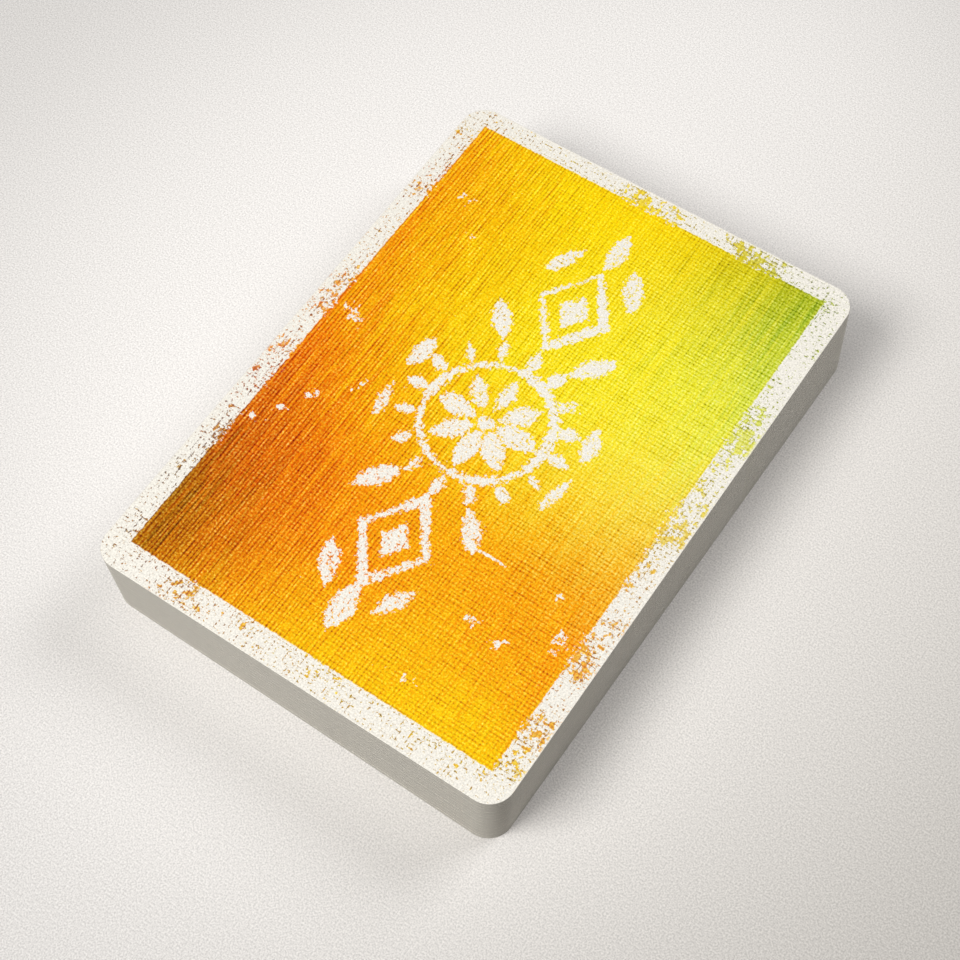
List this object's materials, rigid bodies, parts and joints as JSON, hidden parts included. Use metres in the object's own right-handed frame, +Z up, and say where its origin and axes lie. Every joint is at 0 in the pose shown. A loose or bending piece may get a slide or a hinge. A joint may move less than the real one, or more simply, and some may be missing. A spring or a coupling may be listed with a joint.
{
  "type": "playing card deck",
  "caption": "Squared deck of round-cornered playing cards lying face down, with a worn colour-fade print on linen-finish backs; each card slides out over the right-hand long edge.",
  "frame": {"origin": "middle of the deck's underside, on the surface that it lies on", "axes": "+X along the short side, towards the edge that cards are dealt over; +Y along the long side; +Z up, out of the top card's back"},
  "size_m": [0.0642, 0.0898, 0.0143],
  "materials": {
    "card_stock": "coated card stock with a linen emboss and a satin varnish"
  },
  "bodies": {
    "ace_of_spades": {"ace_of_spades": "card_stock"},
    "two_of_spades": {"two_of_spades": "card_stock"},
    "three_of_spades": {"three_of_spades": "card_stock"},
    "four_of_spades": {"four_of_spades": "card_stock"},
    "five_of_spades": {"five_of_spades": "card_stock"},
    "six_of_spades": {"six_of_spades": "card_stock"},
    "seven_of_spades": {"seven_of_spades": "card_stock"},
    "eight_of_spades": {"eight_of_spades": "card_stock"},
    "nine_of_spades": {"nine_of_spades": "card_stock"},
    "ten_of_spades": {"ten_of_spades": "card_stock"},
    "jack_of_spades": {"jack_of_spades": "card_stock"},
    "queen_of_spades": {"queen_of_spades": "card_stock"},
    "king_of_spades": {"king_of_spades": "card_stock"},
    "ace_of_diamonds": {"ace_of_diamonds": "card_stock"},
    "two_of_diamonds": {"two_of_diamonds": "card_stock"},
    "three_of_diamonds": {"three_of_diamonds": "card_stock"},
    "four_of_diamonds": {"four_of_diamonds": "card_stock"},
    "five_of_diamonds": {"five_of_diamonds": "card_stock"},
    "six_of_diamonds": {"six_of_diamonds": "card_stock"},
    "seven_of_diamonds": {"seven_of_diamonds": "card_stock"},
    "eight_of_diamonds": {"eight_of_diamonds": "card_stock"},
    "nine_of_diamonds": {"nine_of_diamonds": "card_stock"},
    "ten_of_diamonds": {"ten_of_diamonds": "card_stock"},
    "jack_of_diamonds": {"jack_of_diamonds": "card_stock"},
    "queen_of_diamonds": {"queen_of_diamonds": "card_stock"},
    "king_of_diamonds": {"king_of_diamonds": "card_stock"},
    "king_of_clubs": {"king_of_clubs": "card_stock"},
    "queen_of_clubs": {"queen_of_clubs": "card_stock"},
    "jack_of_clubs": {"jack_of_clubs": "card_stock"},
    "ten_of_clubs": {"ten_of_clubs": "card_stock"},
    "nine_of_clubs": {"nine_of_clubs": "card_stock"},
    "eight_of_clubs": {"eight_of_clubs": "card_stock"},
    "seven_of_clubs": {"seven_of_clubs": "card_stock"},
    "six_of_clubs": {"six_of_clubs": "card_stock"},
    "five_of_clubs": {"five_of_clubs": "card_stock"},
    "four_of_clubs": {"four_of_clubs": "card_stock"},
    "three_of_clubs": {"three_of_clubs": "card_stock"},
    "two_of_clubs": {"two_of_clubs": "card_stock"},
    "ace_of_clubs": {"ace_of_clubs": "card_stock"},
    "king_of_hearts": {"king_of_hearts": "card_stock"},
    "queen_of_hearts": {"queen_of_hearts": "card_stock"},
    "jack_of_hearts": {"jack_of_hearts": "card_stock"},
    "ten_of_hearts": {"ten_of_hearts": "card_stock"},
    "nine_of_hearts": {"nine_of_hearts": "card_stock"},
    "eight_of_hearts": {"eight_of_hearts": "card_stock"},
    "seven_of_hearts": {"seven_of_hearts": "card_stock"},
    "six_of_hearts": {"six_of_hearts": "card_stock"},
    "five_of_hearts": {"five_of_hearts": "card_stock"},
    "four_of_hearts": {"four_of_hearts": "card_stock"},
    "three_of_hearts": {"three_of_hearts": "card_stock"},
    "two_of_hearts": {"two_of_hearts": "card_stock"},
    "ace_of_hearts": {"ace_of_hearts": "card_stock"}
  },
  "joints": [
    {"name": "deal_two_of_spades", "type": "slide", "parent": "ace_of_spades", "child": "two_of_spades", "axis": [1, 0, 0], "range_m": [0, 0.066]},
    {"name": "deal_three_of_spades", "type": "slide", "parent": "ace_of_spades", "child": "three_of_spades", "axis": [1, 0, 0], "range_m": [0, 0.066]},
    {"name": "deal_four_of_spades", "type": "slide", "parent": "ace_of_spades", "child": "four_of_spades", "axis": [1, 0, 0], "range_m": [0, 0.066]},
    {"name": "deal_five_of_spades", "type": "slide", "parent": "ace_of_spades", "child": "five_of_spades", "axis": [1, 0, 0], "range_m": [0, 0.066]},
    {"name": "deal_six_of_spades", "type": "slide", "parent": "ace_of_spades", "child": "six_of_spades", "axis": [1, 0, 0], "range_m": [0, 0.066]},
    {"name": "deal_seven_of_spades", "type": "slide", "parent": "ace_of_spades", "child": "seven_of_spades", "axis": [1, 0, 0], "range_m": [0, 0.066]},
    {"name": "deal_eight_of_spades", "type": "slide", "parent": "ace_of_spades", "child": "eight_of_spades", "axis": [1, 0, 0], "range_m": [0, 0.066]},
    {"name": "deal_nine_of_spades", "type": "slide", "parent": "ace_of_spades", "child": "nine_of_spades", "axis": [1, 0, 0], "range_m": [0, 0.066]},
    {"name": "deal_ten_of_spades", "type": "slide", "parent": "ace_of_spades", "child": "ten_of_spades", "axis": [1, 0, 0], "range_m": [0, 0.066]},
    {"name": "deal_jack_of_spades", "type": "slide", "parent": "ace_of_spades", "child": "jack_of_spades", "axis": [1, 0, 0], "range_m": [0, 0.066]},
    {"name": "deal_queen_of_spades", "type": "slide", "parent": "ace_of_spades", "child": "queen_of_spades", "axis": [1, 0, 0], "range_m": [0, 0.066]},
    {"name": "deal_king_of_spades", "type": "slide", "parent": "ace_of_spades", "child": "king_of_spades", "axis": [1, 0, 0], "range_m": [0, 0.066]},
    {"name": "deal_ace_of_diamonds", "type": "slide", "parent": "ace_of_spades", "child": "ace_of_diamonds", "axis": [1, 0, 0], "range_m": [0, 0.066]},
    {"name": "deal_two_of_diamonds", "type": "slide", "parent": "ace_of_spades", "child": "two_of_diamonds", "axis": [1, 0, 0], "range_m": [0, 0.066]},
    {"name": "deal_three_of_diamonds", "type": "slide", "parent": "ace_of_spades", "child": "three_of_diamonds", "axis": [1, 0, 0], "range_m": [0, 0.066]},
    {"name": "deal_four_of_diamonds", "type": "slide", "parent": "ace_of_spades", "child": "four_of_diamonds", "axis": [1, 0, 0], "range_m": [0, 0.066]},
    {"name": "deal_five_of_diamonds", "type": "slide", "parent": "ace_of_spades", "child": "five_of_diamonds", "axis": [1, 0, 0], "range_m": [0, 0.066]},
    {"name": "deal_six_of_diamonds", "type": "slide", "parent": "ace_of_spades", "child": "six_of_diamonds", "axis": [1, 0, 0], "range_m": [0, 0.066]},
    {"name": "deal_seven_of_diamonds", "type": "slide", "parent": "ace_of_spades", "child": "seven_of_diamonds", "axis": [1, 0, 0], "range_m": [0, 0.066]},
    {"name": "deal_eight_of_diamonds", "type": "slide", "parent": "ace_of_spades", "child": "eight_of_diamonds", "axis": [1, 0, 0], "range_m": [0, 0.066]},
    {"name": "deal_nine_of_diamonds", "type": "slide", "parent": "ace_of_spades", "child": "nine_of_diamonds", "axis": [1, 0, 0], "range_m": [0, 0.066]},
    {"name": "deal_ten_of_diamonds", "type": "slide", "parent": "ace_of_spades", "child": "ten_of_diamonds", "axis": [1, 0, 0], "range_m": [0, 0.066]},
    {"name": "deal_jack_of_diamonds", "type": "slide", "parent": "ace_of_spades", "child": "jack_of_diamonds", "axis": [1, 0, 0], "range_m": [0, 0.066]},
    {"name": "deal_queen_of_diamonds", "type": "slide", "parent": "ace_of_spades", "child": "queen_of_diamonds", "axis": [1, 0, 0], "range_m": [0, 0.066]},
    {"name": "deal_king_of_diamonds", "type": "slide", "parent": "ace_of_spades", "child": "king_of_diamonds", "axis": [1, 0, 0], "range_m": [0, 0.066]},
    {"name": "deal_king_of_clubs", "type": "slide", "parent": "ace_of_spades", "child": "king_of_clubs", "axis": [1, 0, 0], "range_m": [0, 0.066]},
    {"name": "deal_queen_of_clubs", "type": "slide", "parent": "ace_of_spades", "child": "queen_of_clubs", "axis": [1, 0, 0], "range_m": [0, 0.066]},
    {"name": "deal_jack_of_clubs", "type": "slide", "parent": "ace_of_spades", "child": "jack_of_clubs", "axis": [1, 0, 0], "range_m": [0, 0.066]},
    {"name": "deal_ten_of_clubs", "type": "slide", "parent": "ace_of_spades", "child": "ten_of_clubs", "axis": [1, 0, 0], "range_m": [0, 0.066]},
    {"name": "deal_nine_of_clubs", "type": "slide", "parent": "ace_of_spades", "child": "nine_of_clubs", "axis": [1, 0, 0], "range_m": [0, 0.066]},
    {"name": "deal_eight_of_clubs", "type": "slide", "parent": "ace_of_spades", "child": "eight_of_clubs", "axis": [1, 0, 0], "range_m": [0, 0.066]},
    {"name": "deal_seven_of_clubs", "type": "slide", "parent": "ace_of_spades", "child": "seven_of_clubs", "axis": [1, 0, 0], "range_m": [0, 0.066]},
    {"name": "deal_six_of_clubs", "type": "slide", "parent": "ace_of_spades", "child": "six_of_clubs", "axis": [1, 0, 0], "range_m": [0, 0.066]},
    {"name": "deal_five_of_clubs", "type": "slide", "parent": "ace_of_spades", "child": "five_of_clubs", "axis": [1, 0, 0], "range_m": [0, 0.066]},
    {"name": "deal_four_of_clubs", "type": "slide", "parent": "ace_of_spades", "child": "four_of_clubs", "axis": [1, 0, 0], "range_m": [0, 0.066]},
    {"name": "deal_three_of_clubs", "type": "slide", "parent": "ace_of_spades", "child": "three_of_clubs", "axis": [1, 0, 0], "range_m": [0, 0.066]},
    {"name": "deal_two_of_clubs", "type": "slide", "parent": "ace_of_spades", "child": "two_of_clubs", "axis": [1, 0, 0], "range_m": [0, 0.066]},
    {"name": "deal_ace_of_clubs", "type": "slide", "parent": "ace_of_spades", "child": "ace_of_clubs", "axis": [1, 0, 0], "range_m": [0, 0.066]},
    {"name": "deal_king_of_hearts", "type": "slide", "parent": "ace_of_spades", "child": "king_of_hearts", "axis": [1, 0, 0], "range_m": [0, 0.066]},
    {"name": "deal_queen_of_hearts", "type": "slide", "parent": "ace_of_spades", "child": "queen_of_hearts", "axis": [1, 0, 0], "range_m": [0, 0.066]},
    {"name": "deal_jack_of_hearts", "type": "slide", "parent": "ace_of_spades", "child": "jack_of_hearts", "axis": [1, 0, 0], "range_m": [0, 0.066]},
    {"name": "deal_ten_of_hearts", "type": "slide", "parent": "ace_of_spades", "child": "ten_of_hearts", "axis": [1, 0, 0], "range_m": [0, 0.066]},
    {"name": "deal_nine_of_hearts", "type": "slide", "parent": "ace_of_spades", "child": "nine_of_hearts", "axis": [1, 0, 0], "range_m": [0, 0.066]},
    {"name": "deal_eight_of_hearts", "type": "slide", "parent": "ace_of_spades", "child": "eight_of_hearts", "axis": [1, 0, 0], "range_m": [0, 0.066]},
    {"name": "deal_seven_of_hearts", "type": "slide", "parent": "ace_of_spades", "child": "seven_of_hearts", "axis": [1, 0, 0], "range_m": [0, 0.066]},
    {"name": "deal_six_of_hearts", "type": "slide", "parent": "ace_of_spades", "child": "six_of_hearts", "axis": [1, 0, 0], "range_m": [0, 0.066]},
    {"name": "deal_five_of_hearts", "type": "slide", "parent": "ace_of_spades", "child": "five_of_hearts", "axis": [1, 0, 0], "range_m": [0, 0.066]},
    {"name": "deal_four_of_hearts", "type": "slide", "parent": "ace_of_spades", "child": "four_of_hearts", "axis": [1, 0, 0], "range_m": [0, 0.066]},
    {"name": "deal_three_of_hearts", "type": "slide", "parent": "ace_of_spades", "child": "three_of_hearts", "axis": [1, 0, 0], "range_m": [0, 0.066]},
    {"name": "deal_two_of_hearts", "type": "slide", "parent": "ace_of_spades", "child": "two_of_hearts", "axis": [1, 0, 0], "range_m": [0, 0.066]},
    {"name": "deal_ace_of_hearts", "type": "slide", "parent": "ace_of_spades", "child": "ace_of_hearts", "axis": [1, 0, 0], "range_m": [0, 0.066]}
  ]
}
